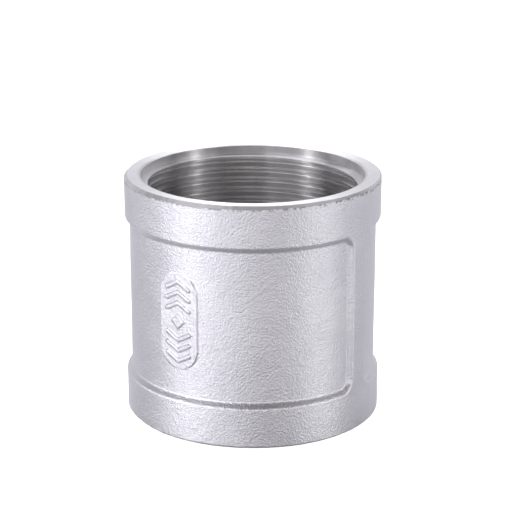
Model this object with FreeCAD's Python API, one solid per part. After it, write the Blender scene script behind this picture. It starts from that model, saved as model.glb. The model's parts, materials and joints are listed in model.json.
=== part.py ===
import FreeCAD, Part
import math
import os

# Full pipe coupling, nominal size 1-1/2 inch, made as one investment casting with machined ends.
# Millimetres. The origin is the centre of the bore at mid-length. +Z runs along the bore. The two
# longitudinal ribs are on +X and -X, and the badge pad is on the -Y side, midway between them.

# The casting
LENGTH = 52.6
BAND_RADIUS = 27.7
BARREL_RADIUS = 26.65
BAND_STEP = BAND_RADIUS - BARREL_RADIUS
BAND_WIDTH = 8.95
PANEL_HALF_HEIGHT = LENGTH / 2 - BAND_WIDTH - BAND_STEP
RIB_CREST_WIDTH = 4.6
RIB_FLANK_RUN = 0.6
PANEL_CORNER_RADIUS = 3.0
CREST_FILLET = 0.4

# The badge pad and its raised marks
PAD_LENGTH = 21.4
PAD_WIDTH = 9.8
PAD_PROUD = 0.04
MARK_HEIGHT = 0.3
MARK_WIDTH = 6.4
MARK_STROKE = 0.85
CHEVRON_RISE = 1.5
CHEVRON_SPACING = 2.3
CHEVRONS_EACH_WAY = 3
FIRST_CHEVRON = 2.2
DIAMOND_RADIUS = 1.7

# The machined ends: ISO 7-1 Rp 1-1/2, parallel, right-hand, 55 degree form, 11 threads to the inch
THREAD_PITCH = 25.4 / 11
THREAD_MAJOR_RADIUS = 47.803 / 2
THREAD_PITCH_RADIUS = 46.324 / 2
THREAD_CREST_RADIUS = 22.6
THREAD_HALF_ANGLE = math.radians(27.5)
THREAD_TURNS = 10
COUNTERBORE_RADIUS = 24.1
COUNTERBORE_DEPTH = 2.15
RELIEF_RADIUS = 24.2
RELIEF_HALF_LENGTH = 5.0
END_CHAMFER = 0.6
MOUTH_CHAMFER_WIDTH = 0.6
MOUTH_CHAMFER_DEPTH = 0.35

# How far a cutting or joining shape runs past the surface it works on
OVERLAP = 1.0
# How far the thread's groove shape reaches inwards past the crests
GROOVE_REACH = 0.15
# How close two measured lengths have to be to count as the same
TOLERANCE = 0.01

UP = FreeCAD.Vector(0, 0, 1)
CENTRE = FreeCAD.Vector(0, 0, 0)


def polygon_face(points):
    """The flat face inside a closed polygon of vectors."""
    return Part.Face(Part.makePolygon(points + points[:1]))


def revolved(profile):
    """A solid of revolution about Z from (radius, height) points."""
    face = polygon_face([FreeCAD.Vector(radius, 0, height) for radius, height in profile])
    return face.revolve(CENTRE, UP, 360)


def banded_barrel():
    """The round blank: a barrel between two bands, with 45 degree shoulders and chamfered ends."""
    upper = [
        (BARREL_RADIUS, PANEL_HALF_HEIGHT),
        (BAND_RADIUS, PANEL_HALF_HEIGHT + BAND_STEP),
        (BAND_RADIUS, LENGTH / 2 - END_CHAMFER),
        (BAND_RADIUS - END_CHAMFER, LENGTH / 2),
    ]
    lower = [(radius, -height) for radius, height in reversed(upper)]
    return revolved([(0, -LENGTH / 2)] + lower + upper + [(0, LENGTH / 2)])


def rib(side):
    """One rib, flush with the bands, on +X (side 1) or -X (side -1)."""
    foot_half_width = RIB_CREST_WIDTH / 2 + RIB_FLANK_RUN
    flank_slope = RIB_FLANK_RUN / BAND_STEP
    root_x = BARREL_RADIUS - OVERLAP
    root_half_width = foot_half_width + flank_slope * OVERLAP
    tip_x = BAND_RADIUS + OVERLAP
    tip_half_width = RIB_CREST_WIDTH / 2 - flank_slope * OVERLAP
    half_length = PANEL_HALF_HEIGHT + BAND_STEP + OVERLAP
    outline = [
        FreeCAD.Vector(side * root_x, -root_half_width, -half_length),
        FreeCAD.Vector(side * tip_x, -tip_half_width, -half_length),
        FreeCAD.Vector(side * tip_x, tip_half_width, -half_length),
        FreeCAD.Vector(side * root_x, root_half_width, -half_length),
    ]
    wedge = polygon_face(outline).extrude(UP * 2 * half_length)
    envelope = Part.makeCylinder(BAND_RADIUS, LENGTH, FreeCAD.Vector(0, 0, -LENGTH / 2), UP)
    return wedge.common(envelope)


def edge_radii(edge):
    """The distances of an edge's middle and two ends from the axis."""
    first, last = edge.FirstParameter, edge.LastParameter
    points = [edge.valueAt(t) for t in (first, (first + last) / 2, last)]
    return [math.hypot(point.x, point.y) for point in points]


def crest_edges(shape):
    """The outer edges of both panels, where the bands and ribs step down to the barrel."""
    reach = PANEL_HALF_HEIGHT + BAND_STEP + TOLERANCE
    found = []
    for edge in shape.Edges:
        on_band_surface = all(abs(radius - BAND_RADIUS) < TOLERANCE for radius in edge_radii(edge))
        if on_band_surface and max(abs(edge.BoundBox.ZMin), abs(edge.BoundBox.ZMax)) < reach:
            found.append(edge)
    return found


def corner_edges(shape):
    """The sloping edges where a rib's flank meets a band's shoulder."""
    found = []
    for edge in shape.Edges:
        start, middle, end = edge_radii(edge)
        spans_step = abs(abs(start - end) - BAND_STEP) < TOLERANCE
        if spans_step and BARREL_RADIUS < middle < BAND_RADIUS:
            found.append(edge)
    return found


def casting_blank():
    """The solid casting with both recessed panels, before the badge and the machining."""
    blank = banded_barrel().fuse([rib(1), rib(-1)]).removeSplitter()
    blank = blank.makeFillet(PANEL_CORNER_RADIUS, corner_edges(blank))
    return blank.makeFillet(CREST_FILLET, crest_edges(blank))


def on_badge(across, along, height):
    """A point on the badge: across to the right, along up the axis, height out of its flat top."""
    return FreeCAD.Vector(across, -(BARREL_RADIUS + PAD_PROUD + height), along)


def raised(face, height):
    """A badge outline drawn at the given height, carried inwards into the barrel's wall."""
    return face.extrude(FreeCAD.Vector(0, height + OVERLAP, 0))


def badge_pad():
    """The obround pad, whose flat top is nearly tangent to the barrel along its centre line."""
    end_radius = PAD_WIDTH / 2
    straight = PAD_LENGTH / 2 - end_radius
    right_low = on_badge(end_radius, -straight, 0)
    right_high = on_badge(end_radius, straight, 0)
    left_high = on_badge(-end_radius, straight, 0)
    left_low = on_badge(-end_radius, -straight, 0)
    outline = Part.Wire([
        Part.makeLine(right_low, right_high),
        Part.Arc(right_high, on_badge(0, PAD_LENGTH / 2, 0), left_high).toShape(),
        Part.makeLine(left_high, left_low),
        Part.Arc(left_low, on_badge(0, -PAD_LENGTH / 2, 0), right_low).toShape(),
    ])
    return raised(Part.Face(outline), 0)


def chevron(foot, direction):
    """A raised chevron whose feet are at the given place and whose tip points along direction."""
    half_width = MARK_WIDTH / 2
    thickness = direction * MARK_STROKE
    rise = direction * CHEVRON_RISE
    outline = [
        on_badge(-half_width, foot, MARK_HEIGHT),
        on_badge(0, foot + rise, MARK_HEIGHT),
        on_badge(half_width, foot, MARK_HEIGHT),
        on_badge(half_width, foot + thickness, MARK_HEIGHT),
        on_badge(0, foot + rise + thickness, MARK_HEIGHT),
        on_badge(-half_width, foot + thickness, MARK_HEIGHT),
    ]
    return raised(polygon_face(outline), MARK_HEIGHT)


def diamond():
    """The raised diamond in the middle of the badge."""
    outline = [
        on_badge(DIAMOND_RADIUS, 0, MARK_HEIGHT),
        on_badge(0, DIAMOND_RADIUS, MARK_HEIGHT),
        on_badge(-DIAMOND_RADIUS, 0, MARK_HEIGHT),
        on_badge(0, -DIAMOND_RADIUS, MARK_HEIGHT),
    ]
    return raised(polygon_face(outline), MARK_HEIGHT)


def badge():
    """The pad with its marks: chevrons pointing to each threaded end from a central diamond."""
    marks = [diamond()]
    for direction in (1, -1):
        for index in range(CHEVRONS_EACH_WAY):
            marks.append(chevron(direction * (FIRST_CHEVRON + index * CHEVRON_SPACING), direction))
    return [badge_pad()] + marks


def bore_cutter():
    """The turned bore: chamfered mouths, counterbores, the thread bores and the central relief."""
    ledge = LENGTH / 2 - COUNTERBORE_DEPTH
    face = LENGTH / 2
    past_mouth = MOUTH_CHAMFER_WIDTH * (1 + OVERLAP / MOUTH_CHAMFER_DEPTH)
    upper = [
        (RELIEF_RADIUS, RELIEF_HALF_LENGTH),
        (THREAD_CREST_RADIUS, RELIEF_HALF_LENGTH),
        (THREAD_CREST_RADIUS, ledge),
        (COUNTERBORE_RADIUS, ledge),
        (COUNTERBORE_RADIUS, face - MOUTH_CHAMFER_DEPTH),
        (COUNTERBORE_RADIUS + past_mouth, face + OVERLAP),
    ]
    lower = [(radius, -height) for radius, height in reversed(upper)]
    return revolved([(0, -face - OVERLAP)] + lower + upper + [(0, face + OVERLAP)])


def groove_half_width(radius):
    """Half the width of the thread groove at a radius: a quarter pitch at the pitch radius."""
    return THREAD_PITCH / 4 - (radius - THREAD_PITCH_RADIUS) * math.tan(THREAD_HALF_ANGLE)


def groove_turn():
    """The top thread's lowest turn of groove, right-handed, from +X round to +X one pitch higher."""
    start = LENGTH / 2 - THREAD_TURNS * THREAD_PITCH
    inner = THREAD_CREST_RADIUS - GROOVE_REACH
    inner_half_width = groove_half_width(inner)
    root_half_width = groove_half_width(THREAD_MAJOR_RADIUS)
    corners = [
        FreeCAD.Vector(inner, 0, start - inner_half_width),
        FreeCAD.Vector(THREAD_MAJOR_RADIUS, 0, start - root_half_width),
        FreeCAD.Vector(THREAD_MAJOR_RADIUS, 0, start + root_half_width),
        FreeCAD.Vector(inner, 0, start + inner_half_width),
    ]
    section = Part.makePolygon(corners + corners[:1])
    path = Part.makeHelix(THREAD_PITCH, THREAD_PITCH, THREAD_PITCH_RADIUS)
    path.translate(UP * start)
    return Part.Wire(path.Edges).makePipeShell([section], True, True)


def threaded(bored):
    """The bored casting with a thread cut turn by turn up to each end face."""
    first_turn = groove_turn()
    for index in range(THREAD_TURNS):
        top_turn = first_turn.translated(UP * index * THREAD_PITCH)
        bottom_turn = top_turn.rotated(CENTRE, FreeCAD.Vector(1, 0, 0), 180)
        bored = bored.cut(top_turn).cut(bottom_turn)
    return bored


def coupling_body():
    """The whole coupling: the casting with its badge, bored and threaded from both ends."""
    casting = casting_blank().fuse(badge()).removeSplitter()
    return threaded(casting.cut(bore_cutter()))


os.makedirs("parts", exist_ok=True)
coupling_body().exportStep("parts/coupling_body.step")
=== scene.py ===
import json
import math

import bpy
import numpy as np
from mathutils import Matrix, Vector, noise


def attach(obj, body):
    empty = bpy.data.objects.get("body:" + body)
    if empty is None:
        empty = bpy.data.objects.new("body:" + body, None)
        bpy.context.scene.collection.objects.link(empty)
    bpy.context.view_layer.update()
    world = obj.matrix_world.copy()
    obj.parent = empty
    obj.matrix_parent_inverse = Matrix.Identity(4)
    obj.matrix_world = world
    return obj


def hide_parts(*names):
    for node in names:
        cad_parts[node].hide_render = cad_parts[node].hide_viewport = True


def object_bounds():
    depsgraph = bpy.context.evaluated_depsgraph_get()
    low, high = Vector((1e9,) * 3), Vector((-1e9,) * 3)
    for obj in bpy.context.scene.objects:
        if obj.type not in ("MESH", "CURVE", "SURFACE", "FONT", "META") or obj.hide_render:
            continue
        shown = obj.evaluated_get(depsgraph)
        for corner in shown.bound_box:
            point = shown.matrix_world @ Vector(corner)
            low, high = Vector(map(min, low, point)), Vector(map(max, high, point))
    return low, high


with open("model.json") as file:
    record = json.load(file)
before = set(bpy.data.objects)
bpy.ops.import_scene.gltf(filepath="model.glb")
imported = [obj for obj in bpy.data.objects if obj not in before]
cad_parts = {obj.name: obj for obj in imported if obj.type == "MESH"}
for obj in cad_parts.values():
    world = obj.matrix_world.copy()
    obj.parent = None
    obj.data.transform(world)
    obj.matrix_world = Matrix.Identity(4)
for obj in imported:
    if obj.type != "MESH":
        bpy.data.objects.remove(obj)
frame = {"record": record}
CAD_LOW, CAD_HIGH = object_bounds()

# The mesh is worked out in millimetres and written to Blender in metres.
# Azimuth is measured in degrees from -Y, where the badge faces, towards +X, where one rib is.
MM = 0.001
MOUNTS = {mount["name"]: mount for mount in frame["record"]["mounts"]}
TOP_THREAD = MOUNTS["top_thread"]

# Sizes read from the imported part
BAND_RADIUS = CAD_HIGH.x / MM
HALF_LENGTH = CAD_HIGH.z / MM
CREST_RADIUS = TOP_THREAD["dims"]["r_mm"]
THREAD_MIDDLE = TOP_THREAD["pos_m"][2] / MM
THREAD_TOP = THREAD_MIDDLE + TOP_THREAD["dims"]["length_mm"] / 2
THREAD_BOTTOM = THREAD_MIDDLE - TOP_THREAD["dims"]["length_mm"] / 2

# The casting
BAND_STEP = 1.05
BAND_WIDTH = 8.95
BARREL_RADIUS = BAND_RADIUS - BAND_STEP
MIDDLE_RADIUS = (BAND_RADIUS + BARREL_RADIUS) / 2
PANEL_HALF_HEIGHT = HALF_LENGTH - BAND_WIDTH
RIB_HALF_ANGLE = 4.76
PANEL_CORNER = 2.9
SHOULDER_RUN = 0.95
RIB_FLANK_RUN = 0.7
STEP_FILLET = 0.32

# The casting's uneven skin: the height, size and seed of each kind of lump. The skin sits a little low,
# so that no lump stands out of the part's own box.
SKIN_LUMPS = [(0.035, 7.0, 3.1), (0.014, 2.2, 8.7), (0.012, 0.95, 5.3)]
SKIN_DROP = 0.04

# The badge pad and its marks, in the flat plane of the pad's top
PAD_PROUD = 0.04
PAD_DISTANCE = BARREL_RADIUS + PAD_PROUD
PAD_HALF_WIDTH = 4.9
PAD_HALF_LENGTH = 10.7
PAD_EDGE = 0.3
MARK_HEIGHT = 0.3
MARK_HALF_WIDTH = 3.2
MARK_STROKE = 0.85
MARK_EDGE = 0.4
CHEVRON_RISE = 1.5
CHEVRON_SPACING = 2.3
FIRST_CHEVRON = 2.2
CHEVRONS_EACH_WAY = 3
DIAMOND_RADIUS = 1.7

# The machined ends
PITCH = 25.4 / 11
MAJOR_RADIUS = 47.803 / 2
PITCH_RADIUS = 46.324 / 2
FLANK_ANGLE = math.radians(27.5)
FLANK_SLOPE = math.tan(FLANK_ANGLE)
ROOT_ROUNDING = 0.1373 * PITCH
CREST_ROUNDING = 0.06
COUNTERBORE_RADIUS = 24.1
RELIEF_RADIUS = 24.2
MOUTH_CHAMFER_WIDTH = 0.6
MOUTH_CHAMFER_DEPTH = 0.22
EDGE_ROUNDING = 0.06

# The outer chamfers: their mean width, how much it swings once round, where they are widest, and the
# depth, size and seed of the tears along their borders
CHAMFER_MEAN = 0.52
CHAMFER_SWING = 0.2
CHAMFER_WIDE_AZIMUTH = -15.0
CHAMFER_LEAST = 0.12
CHAMFER_TEARS = [(0.10, 1.3, 20.0), (0.07, 3.5, 40.0)]

# Mesh spacing, in degrees for columns and millimetres for rows, and the zones with finer spacing
COLUMN_STEP = 0.6
FINE_COLUMN_STEP = 0.3
ROW_STEP = 0.35
FINE_ROW_STEP = 0.15
BADGE_HALF_ANGLE = 12.0
RIB_ZONE_ANGLE = 8.4
BADGE_MARGIN = 0.3
SHOULDER_ZONE_BELOW = 2.4
SHOULDER_ZONE_ABOVE = 0.6
CHAMFER_ZONE = 1.6
CHAMFER_ZONE_ROWS = 8
BORE_COLUMNS = 220
CREASE_ANGLE = 26
WELD_DISTANCE = 0.0005

# Where the rows across an outer chamfer lie, as shares of its width from the torn border
CHAMFER_ROWS = (0.02, 0.12, 0.5, 0.88, 1.0)
# How far a flat surface runs on beside a rounded edge before the next point
EDGE_MARGIN = 4 * EDGE_ROUNDING
# Where the rings of one thread turn lie, from the middle of the groove to just short of the crest's middle,
# closer together where the root and the crest are rounded
THREAD_PHASES = np.array([0, 0.03, 0.06, 0.085, 0.105, 0.12, 0.135, 0.34, 0.365, 0.385, 0.405])

# The camera looks at the badge panel from the right and from above. Angles are in degrees, the distance
# is in metres and the shift is a share of the picture's width.
CAMERA_AZIMUTH = 35.5
CAMERA_ELEVATION = 18.5
CAMERA_PITCH = 17.61
CAMERA_DISTANCE = 0.3954
CAMERA_LENS = 124.96
CAMERA_SHIFT = 0.01385


# ---------------------------------------------------------------- shapes as formulas

def smooth_least(a, b, rounding):
    """The smaller of two heights, with the crease between them rounded."""
    blend = np.clip(rounding - np.abs(a - b), 0, None) / rounding
    return np.minimum(a, b) - blend ** 2 * rounding / 4


def smooth_most(a, b, rounding):
    """The larger of two heights, with the crease between them rounded."""
    return -smooth_least(-a, -b, rounding)


def smooth_step(value, low, high):
    """0 below low, 1 above high, and an S-curve between."""
    t = np.clip((value - low) / (high - low), 0, 1)
    return t * t * (3 - 2 * t)


def angle_from(azimuth, centre):
    """Signed degrees from a centre azimuth, between -180 and 180."""
    return (azimuth - centre + 180) % 360 - 180


def panel_depth(azimuth, height):
    """How far both recessed panels step down from the bands' surface, in millimetres."""
    across = np.abs(angle_from(azimuth, 0))
    across = np.minimum(across, 180 - across)
    from_panel_middle = np.radians(across) * MIDDLE_RADIUS
    half_width = np.radians(90 - RIB_HALF_ANGLE) * MIDDLE_RADIUS
    side = from_panel_middle - half_width + PANEL_CORNER
    end = np.abs(height) - PANEL_HALF_HEIGHT + PANEL_CORNER
    outside = np.hypot(np.maximum(side, 0), np.maximum(end, 0))
    distance = outside + np.minimum(np.maximum(side, end), 0) - PANEL_CORNER
    in_corner = (side > 0) & (end > 0)
    corner_share = np.where(in_corner, (end / np.maximum(outside, 0.001)) ** 2, end > side)
    run = RIB_FLANK_RUN + (SHOULDER_RUN - RIB_FLANK_RUN) * corner_share
    depth = smooth_least(-distance / run * BAND_STEP, BAND_STEP, STEP_FILLET)
    return smooth_most(depth, 0, STEP_FILLET)


def segment_distance(x, y, start, end):
    """Distance from points to a straight segment."""
    dx, dy = end[0] - start[0], end[1] - start[1]
    along = np.clip(((x - start[0]) * dx + (y - start[1]) * dy) / (dx * dx + dy * dy), 0, 1)
    return np.hypot(x - start[0] - along * dx, y - start[1] - along * dy)


def chevron_distance(across, along, foot):
    """Distance to the edge of one chevron that points away from the badge's middle."""
    direction = math.copysign(1, foot)
    centre_foot = foot + direction * MARK_STROKE / 2
    tip = (0, centre_foot + direction * CHEVRON_RISE)
    reach = MARK_HALF_WIDTH - MARK_STROKE / 2
    left = segment_distance(across, along, (-reach, centre_foot), tip)
    right = segment_distance(across, along, (reach, centre_foot), tip)
    return np.minimum(left, right) - MARK_STROKE / 2


def badge_marks(across, along):
    """Height of the chevrons and the diamond above the pad."""
    distance = (np.abs(across) + np.abs(along) - DIAMOND_RADIUS) / math.sqrt(2)
    for index in range(CHEVRONS_EACH_WAY):
        foot = FIRST_CHEVRON + index * CHEVRON_SPACING
        distance = np.minimum(distance, chevron_distance(across, along, foot))
        distance = np.minimum(distance, chevron_distance(across, along, -foot))
    return MARK_HEIGHT * (1 - smooth_step(distance, -MARK_EDGE / 2, MARK_EDGE / 2))


def badge_radius(azimuth, height, wall):
    """The casting's radius with the badge laid over the given wall radius."""
    turn = np.radians(np.clip(angle_from(azimuth, 0), -30, 30))
    across = PAD_DISTANCE * np.tan(turn)
    straight = PAD_HALF_LENGTH - PAD_HALF_WIDTH
    beyond = np.maximum(np.abs(height) - straight, 0)
    distance = np.hypot(across, beyond) - PAD_HALF_WIDTH
    share = 1 - smooth_step(distance, -PAD_EDGE, 0)
    top = (PAD_DISTANCE + badge_marks(across, height)) / np.cos(turn)
    return wall + share * (np.maximum(top, wall) - wall)


def lumps(azimuth, height, size, seed):
    """Smooth noise between -1 and 1 on the casting's surface, with lumps of the given size."""
    turn = np.radians(azimuth)
    x = BAND_RADIUS / size * np.sin(turn)
    y = BAND_RADIUS / size * np.cos(turn)
    z = height / size + seed
    points = zip(x.ravel(), y.ravel(), z.ravel())
    return np.array([noise.noise(point) for point in points]).reshape(x.shape)


def skin_radius(azimuth, height):
    """Radius of the as-cast outside: bands, ribs, panels, badge and the skin's uneven surface."""
    wall = BAND_RADIUS - panel_depth(azimuth, height)
    shaped = badge_radius(azimuth, height, wall)
    uneven = sum(depth * lumps(azimuth, height, size, seed) for depth, size, seed in SKIN_LUMPS)
    return shaped - SKIN_DROP + uneven


def chamfer_width(azimuth, end):
    """Width of the outer chamfer, which runs out of true with the casting and has a torn edge."""
    swing = CHAMFER_SWING * np.cos(np.radians(azimuth - CHAMFER_WIDE_AZIMUTH))
    level = np.zeros_like(azimuth)
    torn = sum(depth * lumps(azimuth, level, size, seed + end) for depth, size, seed in CHAMFER_TEARS)
    return np.maximum(CHAMFER_MEAN + swing + torn, CHAMFER_LEAST)


def thread_radius(phase):
    """Radius of the thread at a phase between 0 and 1, with 0 in the middle of the rounded groove."""
    from_groove = PITCH * np.abs((phase + 0.5) % 1 - 0.5)
    flank = PITCH_RADIUS - (from_groove - PITCH / 4) / FLANK_SLOPE
    arc = MAJOR_RADIUS - ROOT_ROUNDING + np.sqrt(np.clip(ROOT_ROUNDING ** 2 - from_groove ** 2, 0, None))
    groove = np.where(from_groove < ROOT_ROUNDING * math.cos(FLANK_ANGLE), arc, flank)
    return smooth_most(groove, CREST_RADIUS, CREST_ROUNDING)


# ---------------------------------------------------------------- the mesh, ring by ring

def steps(*stretches):
    """Evenly spaced values over joined stretches of (start, stop, spacing)."""
    values = []
    for start, stop, spacing in stretches:
        count = max(1, round((stop - start) / spacing))
        values.extend(np.linspace(start, stop, count, endpoint=False))
    return np.array(values)


def outer_columns():
    """Azimuths of the outside's columns, closer together over the badge and the ribs' flanks."""
    badge = BADGE_HALF_ANGLE
    near_rib = (90 - RIB_ZONE_ANGLE, 90 + RIB_ZONE_ANGLE)
    far_rib = (270 - RIB_ZONE_ANGLE, 270 + RIB_ZONE_ANGLE)
    return steps(
        (-badge, badge, FINE_COLUMN_STEP),
        (badge, near_rib[0], COLUMN_STEP),
        (near_rib[0], near_rib[1], FINE_COLUMN_STEP),
        (near_rib[1], far_rib[0], COLUMN_STEP),
        (far_rib[0], far_rib[1], FINE_COLUMN_STEP),
        (far_rib[1], 360 - badge, COLUMN_STEP),
    )


def outer_rows():
    """Heights of the outside's rows between the two chamfer zones, from bottom to top."""
    shoulder_low = PANEL_HALF_HEIGHT - SHOULDER_ZONE_BELOW
    shoulder_high = PANEL_HALF_HEIGHT + SHOULDER_ZONE_ABOVE
    badge = PAD_HALF_LENGTH + BADGE_MARGIN
    top = HALF_LENGTH - CHAMFER_ZONE
    return steps(
        (-top, -shoulder_high, ROW_STEP),
        (-shoulder_high, -shoulder_low, FINE_ROW_STEP),
        (-shoulder_low, -badge, ROW_STEP),
        (-badge, badge, FINE_ROW_STEP),
        (badge, shoulder_low, ROW_STEP),
        (shoulder_low, shoulder_high, FINE_ROW_STEP),
        (shoulder_high, top, ROW_STEP),
        (top, top + ROW_STEP / 2, ROW_STEP),
    )


class Surface:
    """Points and faces of one closed surface, with how machined each point is."""

    def __init__(self):
        self.points = []
        self.machined = []
        self.faces = []
        self.count = 0

    def ring(self, azimuth, radius, height, machined):
        """Adds one point per azimuth and returns the points' numbers."""
        azimuth, radius, height, machined = np.broadcast_arrays(azimuth, radius, height, machined)
        turn = np.radians(azimuth)
        self.points.append(np.stack([radius * np.sin(turn), -radius * np.cos(turn), height], axis=1))
        self.machined.append(machined)
        numbers = np.arange(self.count, self.count + len(azimuth))
        self.count += len(azimuth)
        return numbers

    def band(self, lower, upper):
        """Quads between two rings of the same length, facing away from the axis."""
        after_lower, after_upper = np.roll(lower, -1), np.roll(upper, -1)
        self.faces.extend(np.stack([lower, after_lower, after_upper, upper], axis=1).tolist())

    def strip(self, inner, inner_azimuth, outer, outer_azimuth, facing_up):
        """Triangles between two rings whose points don't match, both running round from azimuth 0."""
        # a ring that has gone right round waits at infinity for the other one
        next_inner = np.append(inner_azimuth[1:], [360, np.inf])
        next_outer = np.append(outer_azimuth[1:], [360, np.inf])
        i = j = 0
        while i < len(inner) or j < len(outer):
            a, b = inner[i % len(inner)], outer[j % len(outer)]
            if next_inner[i] <= next_outer[j]:
                i += 1
                face = [a, b, inner[i % len(inner)]]
            else:
                j += 1
                face = [a, b, outer[j % len(outer)]]
            self.faces.append(face if facing_up else face[::-1])

    def mesh(self, name):
        """The welded mesh in metres, with sharp creases marked."""
        points = np.concatenate(self.points)
        keys = np.round(points / WELD_DISTANCE).astype(np.int64)
        _, first, number = np.unique(keys, axis=0, return_index=True, return_inverse=True)
        number = number.ravel()
        corners = [list(dict.fromkeys(number[face].tolist())) for face in self.faces]
        kept = [face for face in corners if len(face) > 2]
        mesh = bpy.data.meshes.new(name)
        mesh.from_pydata(points[first] * MM, [], kept)
        layer = mesh.attributes.new("machined", "FLOAT", "POINT")
        layer.data.foreach_set("value", np.concatenate(self.machined)[first].astype(np.float32))
        mesh.polygons.foreach_set("use_smooth", np.ones(len(kept), bool))
        mesh.set_sharp_from_angle(angle=math.radians(CREASE_ANGLE))
        mesh.update()
        return mesh


def add_outside(surface, azimuth):
    """The cast outside with its machined chamfers. Returns the bottom and top edge rings."""
    rows = outer_rows()
    zone_low = rows[-1]
    border = {end: HALF_LENGTH - chamfer_width(azimuth, end) for end in (-1, 1)}
    shares = np.linspace(0, 1, CHAMFER_ZONE_ROWS + 1)[1:]

    def cast(height):
        return surface.ring(azimuth, skin_radius(azimuth, height), height, 0.0)

    def chamfer(end):
        """Rings up the chamfer, from the torn border to the end face, with a rounded last edge."""
        low = border[end]
        base = np.minimum(skin_radius(azimuth, end * low), BAND_RADIUS)
        made = []
        for share in CHAMFER_ROWS:
            height = low + (HALF_LENGTH - EDGE_ROUNDING - low) * share
            made.append(surface.ring(azimuth, base - (height - low), end * height, 0.5))
        for inset in (EDGE_ROUNDING / 4, EDGE_ROUNDING):
            radius = base - (HALF_LENGTH - low) - inset
            made.append(surface.ring(azimuth, radius, end * HALF_LENGTH, 1.0))
        return made

    def chamfer_zone(end):
        """Rings from the last even row out to the torn border."""
        return [cast(end * (zone_low + (border[end] - zone_low) * share)) for share in shares]

    bottom = chamfer_zone(-1)
    rings = chamfer(-1)[::-1] + bottom[::-1] + [cast(np.full_like(azimuth, row)) for row in rows]
    rings += chamfer_zone(1) + chamfer(1)
    for lower, upper in zip(rings, rings[1:]):
        surface.band(lower, upper)
    return rings[0], rings[-1]


def thread_rings(surface, azimuth):
    """The helical rings of the top thread, from the ledge down to the relief."""
    phases = np.concatenate([THREAD_PHASES, [0.5], 1 - THREAD_PHASES[:0:-1]])
    groove_height = HALF_LENGTH + PITCH * (azimuth - 90) / 360
    # enough turns to pass the relief at every azimuth; what lies past an end is flattened onto it
    turns = math.ceil((HALF_LENGTH - THREAD_BOTTOM) / PITCH) + 3
    rings = []
    for turn in range(turns):
        for phase in phases:
            height = np.clip(groove_height - PITCH * (turn + phase), THREAD_BOTTOM, THREAD_TOP)
            radius = thread_radius((groove_height - height) / PITCH)
            rings.append(surface.ring(azimuth, radius, height, 1.0))
    per_turn = len(phases)
    for number in range(len(rings) - 1):
        upper, lower = rings[number], rings[number + 1]
        # a helical ring that has gone once round meets the ring one pitch above it
        upper_next = np.append(upper[1:], rings[max(number - per_turn, 0)][0])
        lower_next = np.append(lower[1:], rings[max(number + 1 - per_turn, 0)][0])
        surface.faces.extend(np.stack([upper, upper_next, lower_next, lower], axis=1).tolist())
    return rings[0], rings[-1]


def rounded_profile(corners):
    """The (radius, height) points of a profile with its inner corners rounded and held by extra points."""
    points = [corners[0]]
    for before, corner, after in zip(corners, corners[1:], corners[2:]):
        for end, reach in ((before, 2), (before, 1), (after, 1), (after, 2)):
            length = math.dist(corner, end)
            share = reach * EDGE_ROUNDING / length
            points.append(tuple(c + (e - c) * share for c, e in zip(corner, end)))
    return points + [corners[-1]]


def add_bore_half(surface, azimuth):
    """The top half of the bore, from the mouth to the middle. Returns the mouth's ring."""
    mouth = COUNTERBORE_RADIUS + MOUTH_CHAMFER_WIDTH
    wall_top = HALF_LENGTH - MOUTH_CHAMFER_DEPTH
    upper = rounded_profile([
        (mouth + EDGE_MARGIN, HALF_LENGTH),
        (mouth, HALF_LENGTH),
        (COUNTERBORE_RADIUS, wall_top),
        (COUNTERBORE_RADIUS, THREAD_TOP),
        (COUNTERBORE_RADIUS - EDGE_MARGIN, THREAD_TOP),
    ])
    rings = [surface.ring(azimuth, radius, height, 1.0) for radius, height in upper]
    thread_first, thread_last = thread_rings(surface, azimuth)
    lower = [(RELIEF_RADIUS, THREAD_BOTTOM), (RELIEF_RADIUS, THREAD_BOTTOM / 2), (RELIEF_RADIUS, 0)]
    relief = [surface.ring(azimuth, radius, height, 1.0) for radius, height in lower]
    # the rings run downwards, so the bands face the axis
    for stretch in (rings, relief, [rings[-1], thread_first], [thread_last, relief[0]]):
        for above, below in zip(stretch, stretch[1:]):
            surface.band(above, below)
    return rings[0]


def add_turned_over(surface):
    """Adds all the points and faces made so far again, turned half a turn about X."""
    shift = surface.count
    surface.points.append(np.concatenate(surface.points) * (1, -1, -1))
    surface.machined.append(np.concatenate(surface.machined))
    surface.faces.extend([[corner + shift for corner in face] for face in surface.faces])
    surface.count += shift
    return shift


def coupling_mesh():
    """The whole coupling as one closed mesh."""
    surface = Surface()
    bore_azimuth = np.arange(BORE_COLUMNS) * 360 / BORE_COLUMNS
    mouth = add_bore_half(surface, bore_azimuth)
    shift = add_turned_over(surface)
    # the half turn carries azimuth a to 180 - a, so the bottom mouth's points are put back in order
    low_mouth = np.roll((mouth + shift)[::-1], BORE_COLUMNS // 2 + 1)
    outer_azimuth = np.sort(outer_columns() % 360)
    bottom, top = add_outside(surface, outer_azimuth)
    surface.strip(mouth, bore_azimuth, top, outer_azimuth, True)
    surface.strip(low_mouth, bore_azimuth, bottom, outer_azimuth, False)
    return surface.mesh("coupling_body_visual")


# ---------------------------------------------------------------- material

# The range that Blender's noise mostly keeps to
NOISE_LOW = 0.3
NOISE_HIGH = 0.7

# The cast skin: the ranges of its colour and roughness, the height of its relief in millimetres, and the
# shares that fine grain and pebbling have in the relief beside the main grain
CAST_COLOURS = (0.71, 0.70, 0.745, 1), (0.77, 0.76, 0.80, 1)
CAST_ROUGHNESS = 0.29, 0.36
CAST_BUMP = 0.125
FINE_SHARE = 0.5
PEBBLE_SHARE = 0.4

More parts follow.
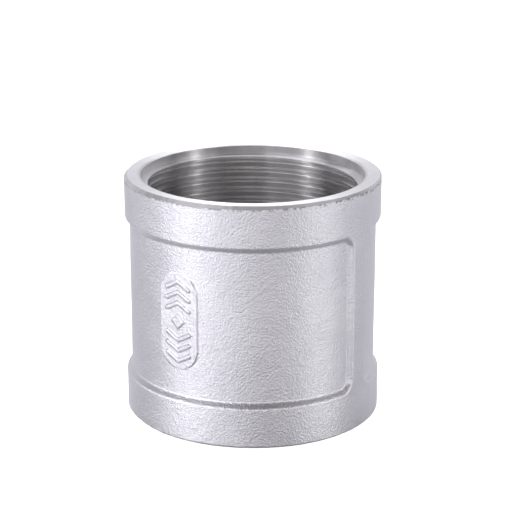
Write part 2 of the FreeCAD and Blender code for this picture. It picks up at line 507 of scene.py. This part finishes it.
# The pits under the top chamfer, whose dark colour is painted shade inside them: how far below the end face
# they reach in millimetres, their depth beside the main grain's height, and the noise levels between which
# the edges of the pits lie
PIT_REACH = 1.25
PIT_DEPTH = 0.6
PIT_EDGE = 0.47, 0.56
# painted shade inside the pits: the bump dents the skin but can't darken the dents
PIT_SHADE_COLOUR = (0.16, 0.16, 0.17, 1)

# The cut metal: colours, with the second pair darker as painted shade, roughness, and how strongly the
# turning marks streak the highlights
FACE_COLOURS = (0.80, 0.79, 0.81, 1), (0.86, 0.85, 0.87, 1)
# painted shade: a darker copy of the end faces' steel for cut metal that doesn't face up, the bore's walls,
# threads and chamfers
SHADED_CUT_COLOURS = (0.63, 0.62, 0.625, 1), (0.73, 0.72, 0.725, 1)
FACE_ROUGHNESS = 0.30
BORE_ROUGHNESS = 0.28, 0.36
CHAMFER_ROUGHNESS = 0.42
FACE_STREAKS = 0.85
BORE_STREAKS = 1.0
CHAMFER_STREAKS = 0.5

# The turning marks: the height of their relief, the shares that broad marks and tears have in it beside
# the fine ones, and how a height counts beside a radius
CUT_BUMP = 0.006
BROAD_SHARE = 0.5
TORN_SHARE = 0.6
HEIGHT_TO_RADIUS = 1.37
# Metres of the tears' noise in one radian round the bore: far less than the bore's radius, so that the
# tears are drawn out along the cut
TEAR_STEP_PER_RADIAN = 0.002


class Nodes:
    """A short way to write node trees."""

    def __init__(self, tree):
        self.tree = tree
        self.tree.nodes.clear()

    def add(self, kind, settings=None, **inputs):
        """A node with its settings, and its inputs linked to sockets or set to values."""
        node = self.tree.nodes.new(kind)
        for key, value in (settings or {}).items():
            setattr(node, key, value)
        for key, value in inputs.items():
            self.put(node, key.replace("_", " "), value)
        return node

    def put(self, node, key, value):
        """Links a socket to an input, or sets the input to a value; the key is a name or a number."""
        socket = node.inputs[int(key) if key.isdigit() else key]
        if isinstance(value, bpy.types.NodeSocket):
            self.tree.links.new(value, socket)
        else:
            socket.default_value = value

    def math(self, operation, *values):
        """One sum, product or function of values."""
        node = self.add("ShaderNodeMath", {"operation": operation})
        for index, value in enumerate(values):
            self.put(node, str(index), value)
        return node.outputs[0]

    def remap(self, value, low, high, to_low=0.0, to_high=1.0, smooth=False):
        """The value carried from one range to another and held inside it."""
        kind = "SMOOTHSTEP" if smooth else "LINEAR"
        node = self.add("ShaderNodeMapRange", {"interpolation_type": kind, "clamp": True})
        for key, item in zip(("Value", "From Min", "From Max", "To Min", "To Max"),
                             (value, low, high, to_low, to_high)):
            self.put(node, key, item)
        return node.outputs["Result"]

    def mix(self, share, first, second):
        """The first number where share is 0 and the second where it is 1."""
        node = self.add("ShaderNodeMix", {"data_type": "FLOAT"})
        for key, item in zip((0, 2, 3), (share, first, second)):
            self.put(node, str(key), item)
        return node.outputs[0]

    def mix_colour(self, share, first, second):
        """The first colour where share is 0 and the second where it is 1."""
        node = self.add("ShaderNodeMix", {"data_type": "RGBA"})
        for key, item in zip((0, 6, 7), (share, first, second)):
            self.put(node, str(key), item)
        return node.outputs[2]

    def mix_shaders(self, share, first, second):
        """The first shader node where share is 0 and the second where it is 1."""
        node = self.add("ShaderNodeMixShader")
        for key, item in zip((0, 1, 2), (share, first.outputs[0], second.outputs[0])):
            self.put(node, str(key), item)
        return node

    def spread(self, noise, to_low=0.0, to_high=1.0):
        """Noise, which stays near its middle, stretched over the given range."""
        return self.remap(noise, NOISE_LOW, NOISE_HIGH, to_low, to_high)

    def noise(self, where, size, detail=2.0, roughness=0.5, distortion=0.0):
        """Noise whose features have the given size in millimetres."""
        node = self.add("ShaderNodeTexNoise", Vector=where, Scale=1 / (size * MM), Detail=detail,
                        Roughness=roughness, Distortion=distortion)
        return node.outputs["Fac"]

    def line_noise(self, along, size, detail=2.0):
        """Noise that changes only along one value, for turning marks of the given size in millimetres."""
        node = self.add("ShaderNodeTexNoise", {"noise_dimensions": "1D"}, W=along, Scale=1 / (size * MM),
                        Detail=detail)
        return node.outputs["Fac"]


def cast_look(nodes, where, z):
    """The blasted casting skin: cool satin grey with a fine, leathery grain."""
    grain = nodes.noise(where, 0.45, 2.0, 0.5, 0.4)
    fine = nodes.noise(where, 0.3, 1.0, 0.5, 0.3)
    pebble = nodes.noise(where, 2.5, 2.0, 0.5, 0.6)
    patch = nodes.noise(where, 9.0, 3.0, 0.55)
    height = nodes.math("ADD", grain, nodes.math("MULTIPLY", fine, FINE_SHARE))
    height = nodes.math("ADD", height, nodes.math("MULTIPLY", pebble, PEBBLE_SHARE))
    colour = nodes.mix_colour(nodes.spread(patch), *CAST_COLOURS)
    roughness = nodes.spread(grain, *CAST_ROUGHNESS)
    pit_and_shade = pits(nodes, where, z)
    # painted shade in the pits
    colour = nodes.mix_colour(pit_and_shade, colour, PIT_SHADE_COLOUR)
    height = nodes.math("SUBTRACT", height, nodes.math("MULTIPLY", pit_and_shade, PIT_DEPTH))
    return colour, roughness, height


def pits(nodes, where, z):
    """Where the skin is pitted, just under the top chamfer; the same mask lays painted shade in the pits."""
    speck = nodes.noise(where, 0.8, 2.0, 0.6)
    below_face = nodes.math("SUBTRACT", HALF_LENGTH * MM, z)
    near_chamfer = nodes.remap(below_face, PIT_REACH * MM, CHAMFER_MEAN * MM)
    return nodes.math("MULTIPLY", near_chamfer, nodes.remap(speck, *PIT_EDGE))


def turning_marks(nodes, where, radius, z):
    """Heights of the cutting tool's marks: the fine ones alone, and all of them with tears across them."""
    # the marks follow the radius on flat faces and the height on walls
    along = nodes.math("ADD", radius, nodes.math("MULTIPLY", z, HEIGHT_TO_RADIUS))
    fine = nodes.line_noise(along, 0.16, 3.0)
    broad = nodes.line_noise(along, 1.1, 2.0)
    around = nodes.math("ARCTAN2", *nodes.add("ShaderNodeSeparateXYZ", Vector=where).outputs[:2])
    drawn_out = nodes.math("MULTIPLY", around, TEAR_STEP_PER_RADIAN)
    torn_at = nodes.add("ShaderNodeCombineXYZ", X=drawn_out, Y=along)
    torn = nodes.noise(torn_at.outputs[0], 0.2, 3.0, 0.7)
    marks = nodes.math("ADD", fine, nodes.math("MULTIPLY", broad, BROAD_SHARE))
    return fine, nodes.math("ADD", marks, nodes.math("MULTIPLY", torn, TORN_SHARE))


def machined_look(nodes, where, radius, z, turned, facing_up):
    """Cut metal: turned inside and on the end faces, and duller on the outer chamfers."""
    fine, marks = turning_marks(nodes, where, radius, z)
    smear = nodes.spread(nodes.noise(where, 4.0, 3.0, 0.6))
    # painted shade: cut metal that doesn't face up takes the darker colours, and the upward end faces take
    # the lighter ones
    shaded_cut_colour = nodes.mix_colour(smear, *SHADED_CUT_COLOURS)
    colour = nodes.mix_colour(facing_up, shaded_cut_colour, nodes.mix_colour(smear, *FACE_COLOURS))
    roughness = nodes.mix(facing_up, nodes.spread(fine, *BORE_ROUGHNESS), FACE_ROUGHNESS)
    roughness = nodes.mix(turned, CHAMFER_ROUGHNESS, roughness)
    streaks = nodes.mix(turned, CHAMFER_STREAKS, nodes.mix(facing_up, BORE_STREAKS, FACE_STREAKS))
    return colour, roughness, marks, streaks


def stainless(name):
    """Stainless steel that is cast skin or cut metal, as the mesh's machined value says."""
    material = bpy.data.materials.new(name)
    material.use_nodes = True
    nodes = Nodes(material.node_tree)
    where = nodes.add("ShaderNodeTexCoord").outputs["Object"]
    x, y, z = nodes.add("ShaderNodeSeparateXYZ", Vector=where).outputs
    squares = nodes.math("ADD", nodes.math("MULTIPLY", x, x), nodes.math("MULTIPLY", y, y))
    radius = nodes.math("SQRT", squares)
    normal = nodes.add("ShaderNodeNewGeometry").outputs["Normal"]
    upright = nodes.math("ABSOLUTE", nodes.add("ShaderNodeSeparateXYZ", Vector=normal).outputs[2])
    facing_up = nodes.remap(upright, 0.93, 0.98)
    # the machined value is 0 on cast skin, 0.5 on the outer chamfers and 1 on turned surfaces
    value = nodes.add("ShaderNodeAttribute", {"attribute_name": "machined"}).outputs["Fac"]
    share = nodes.remap(value, 0.1, 0.4)
    turned = nodes.remap(value, 0.6, 0.9)
    cast_colour, cast_roughness, cast_height = cast_look(nodes, where, z)
    cut = machined_look(nodes, where, radius, z, turned, facing_up)
    cut_colour, cut_roughness, cut_height, cut_streaks = cut
    cast_bump = nodes.add("ShaderNodeBump", Height=cast_height, Distance=CAST_BUMP * MM, Strength=1.0)
    cut_bump = nodes.add("ShaderNodeBump", Height=cut_height, Distance=CUT_BUMP * MM, Strength=1.0)
    bumped = nodes.add("ShaderNodeMix", {"data_type": "VECTOR"})
    nodes.put(bumped, "0", share)
    nodes.put(bumped, "4", cast_bump.outputs["Normal"])
    nodes.put(bumped, "5", cut_bump.outputs["Normal"])
    around = nodes.add("ShaderNodeTangent", {"direction_type": "RADIAL", "axis": "Z"}).outputs[0]
    # a quarter turn, so that the turning marks spread a highlight across themselves
    shader = nodes.add("ShaderNodeBsdfPrincipled", Metallic=1.0, Anisotropic_Rotation=0.25)
    nodes.put(shader, "Base Color", nodes.mix_colour(share, cast_colour, cut_colour))
    nodes.put(shader, "Roughness", nodes.mix(share, cast_roughness, cut_roughness))
    nodes.put(shader, "Anisotropic", nodes.math("MULTIPLY", share, cut_streaks))
    nodes.put(shader, "Tangent", around)
    nodes.put(shader, "Normal", bumped.outputs[1])
    nodes.add("ShaderNodeOutputMaterial", Surface=shader.outputs[0])
    return material


# ---------------------------------------------------------------- stage, light and camera

# The floor, in metres: half its width and how far it lies below the coupling
FLOOR_HALF_SIZE = 4.0
FLOOR_GAP = 0.00002
# How much of the floor is mirror rather than matt, how blurred its mirror is, and how much brighter
# it looks to the camera than the light falling on it makes it
FLOOR_POLISH = 0.6
FLOOR_ROUGHNESS = 0.2
FLOOR_LIFT = 0.92


def floor_material():
    """Polished white sheet: it mirrors the softboxes at the coupling and looks plain white to the camera."""
    material = bpy.data.materials.new("floor_sheet")
    material.use_nodes = True
    nodes = Nodes(material.node_tree)
    where = nodes.add("ShaderNodeTexCoord").outputs["Object"]
    cloud = nodes.noise(where, 50.0, 3.0)
    shade = nodes.mix_colour(cloud, (0.78, 0.78, 0.79, 1), (0.84, 0.84, 0.85, 1))
    paper = nodes.add("ShaderNodeBsdfDiffuse", Color=shade)
    polish = nodes.add("ShaderNodeBsdfGlossy", Color=(0.97, 0.97, 0.97, 1), Roughness=FLOOR_ROUGHNESS)
    sheet = nodes.mix_shaders(FLOOR_POLISH, paper, polish)
    camera_ray = nodes.add("ShaderNodeLightPath").outputs["Is Camera Ray"]
    lift = nodes.math("MULTIPLY", camera_ray, FLOOR_LIFT)
    glow = nodes.add("ShaderNodeEmission", Color=(1.0, 1.0, 1.0, 1.0), Strength=lift)
    total = nodes.add("ShaderNodeAddShader", **{"0": sheet.outputs[0], "1": glow.outputs[0]})
    nodes.add("ShaderNodeOutputMaterial", Surface=total.outputs[0])
    return material


def add_floor():
    """A large pale floor under the coupling."""
    size = FLOOR_HALF_SIZE
    mesh = bpy.data.meshes.new("floor")
    corners = [(-size, -size, 0), (size, -size, 0), (size, size, 0), (-size, size, 0)]
    mesh.from_pydata(corners, [], [(0, 1, 2, 3)])
    mesh.materials.append(floor_material())
    floor = bpy.data.objects.new("floor", mesh)
    floor.location.z = CAD_LOW.z - FLOOR_GAP
    bpy.context.collection.objects.link(floor)


# The lights are panels in the sky: the bearing of the middle, half the width, the softness of the sides,
# the elevations of the bottom and the top, all in degrees, then the brightness and the colour.
# The softboxes' bearings are seen from a point behind the coupling, positive to the camera's right, so
# that their upright edges reflect as upright edges in the bore and on the barrel.
BEARING_POINT = math.cos(math.radians(CAMERA_ELEVATION))
BELOW_FLOOR = -20
# Left and right of the camera: a broad softbox with a narrow bright core and a dim upper half, and a low
# one near the limb. The fifth is a low one in front.
SOFTBOXES = [
    (-24, 17, 0.8, BELOW_FLOOR, 38, 1.3, (0.995, 0.99, 1.04)),
    (-31, 2, 3, BELOW_FLOOR, 34, 3.8, (1.0, 0.99, 0.99)),
    (-25, 17, 3, 38, 66, 0.5, (0.98, 0.98, 1.03)),
    (-50, 7, 3, BELOW_FLOOR, 14, 2.4, (0.98, 0.98, 1.03)),
    (4, 12, 2, BELOW_FLOOR, 22, 1.05, (0.99, 0.975, 0.98)),
    (31, 13.5, 0.8, BELOW_FLOOR, 38, 0.66, (0.985, 0.985, 1.03)),
    (32, 2, 3, BELOW_FLOOR, 34, 3.0, (1.0, 0.99, 0.97)),
    (31, 13.5, 3, 38, 66, 0.3, (0.98, 0.98, 1.03)),
    (53, 6, 3, BELOW_FLOOR, 14, 1.5, (0.98, 0.98, 1.03)),
]
# The white wall behind the coupling, the two panels leaning over it and a faint one over the camera. Their
# bearings are plain azimuths from straight behind.
WHITE_PANELS = [
    (0, 62, 3, BELOW_FLOOR, 32, 0.62, (0.98, 0.98, 1.05)),
    (0, 30, 6, 32, 62, 2.2, (0.98, 0.98, 1.04)),
    (0, 70, 10, 62, 86, 1.5, (0.99, 0.98, 1.02)),
    (180, 30, 20, 58, 84, 0.1, (1.0, 0.99, 0.98)),
]
# How soft the panels' bottoms and tops are, in degrees, and the dim light from everywhere else
PANEL_END_SOFTNESS = 5
DOME_LEVEL = 0.12
DOME_COLOUR = (1.0, 0.96, 0.93)


def panel_light(nodes, bearing, elevation, panel):
    """The light of one panel in the direction with the given bearing and elevation."""
    middle, half_width, soft, bottom, top, level, colour = panel
    turn = nodes.math("WRAP", nodes.math("SUBTRACT", bearing, middle), 180.0, -180.0)
    side = nodes.remap(nodes.math("ABSOLUTE", turn), half_width + soft, half_width - soft, smooth=True)
    low = nodes.remap(elevation, bottom - PANEL_END_SOFTNESS, bottom + PANEL_END_SOFTNESS, smooth=True)
    high = nodes.remap(elevation, top + PANEL_END_SOFTNESS, top - PANEL_END_SOFTNESS, smooth=True)
    share = nodes.math("MULTIPLY", nodes.math("MULTIPLY", side, low), nodes.math("MULTIPLY", high, level))
    light = nodes.add("ShaderNodeVectorMath", {"operation": "SCALE"}, **{"0": colour})
    nodes.put(light, "Scale", share)
    return light.outputs[0]


def add_world():
    """White backdrop for the camera, and a dim dome with softboxes and white panels for the light."""
    world = bpy.data.worlds.new("studio")
    bpy.context.scene.world = world
    world.use_nodes = True
    nodes = Nodes(world.node_tree)
    turned = nodes.add("ShaderNodeVectorRotate", {"rotation_type": "Z_AXIS"},
                       Vector=nodes.add("ShaderNodeTexCoord").outputs["Generated"],
                       Angle=-math.radians(CAMERA_AZIMUTH))
    right, away, up = nodes.add("ShaderNodeSeparateXYZ", Vector=turned.outputs[0]).outputs
    elevation = nodes.math("DEGREES", nodes.math("ARCSINE", up))
    ahead = nodes.math("SUBTRACT", BEARING_POINT, away)
    bearing = nodes.math("DEGREES", nodes.math("ARCTAN2", right, ahead))
    azimuth = nodes.math("DEGREES", nodes.math("ARCTAN2", right, away))
    lights = [panel_light(nodes, bearing, elevation, panel) for panel in SOFTBOXES]
    lights += [panel_light(nodes, azimuth, elevation, panel) for panel in WHITE_PANELS]
    total = tuple(DOME_LEVEL * channel for channel in DOME_COLOUR)
    for light in lights:
        added = nodes.add("ShaderNodeVectorMath", {"operation": "ADD"}, **{"0": light, "1": total})
        total = added.outputs[0]
    lit = nodes.add("ShaderNodeBackground", Color=total, Strength=1.0)
    seen = nodes.add("ShaderNodeBackground", Color=(1, 1, 1, 1), Strength=1.0)
    camera_ray = nodes.add("ShaderNodeLightPath").outputs["Is Camera Ray"]
    mixed = nodes.mix_shaders(camera_ray, lit, seen)
    nodes.add("ShaderNodeOutputWorld", Surface=mixed.outputs[0])


def add_camera():
    """The camera, set from the object's centre by azimuth, elevation and distance."""
    data = bpy.data.cameras.new("camera")
    data.lens = CAMERA_LENS
    data.shift_x = CAMERA_SHIFT
    data.clip_start = 0.01
    data.clip_end = 20.0
    camera = bpy.data.objects.new("camera", data)
    azimuth, elevation = math.radians(CAMERA_AZIMUTH), math.radians(CAMERA_ELEVATION)
    level = Vector((math.sin(azimuth), -math.cos(azimuth), 0))
    centre = (CAD_LOW + CAD_HIGH) / 2
    raised = Vector((0, 0, math.sin(elevation)))
    camera.location = centre + CAMERA_DISTANCE * (level * math.cos(elevation) + raised)
    camera.rotation_euler = (math.radians(90 - CAMERA_PITCH), 0, azimuth)
    bpy.context.collection.objects.link(camera)
    bpy.context.scene.camera = camera


def add_coupling():
    """The coupling's one visible piece, in place of its CAD solid."""
    coupling = bpy.data.objects.new("coupling_body_visual", coupling_mesh())
    coupling.data.materials.append(stainless("stainless_steel"))
    bpy.context.collection.objects.link(coupling)
    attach(coupling, "root")
    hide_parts("coupling_body")


bpy.context.scene.view_settings.view_transform = "Standard"
add_coupling()
add_floor()
add_world()
add_camera()
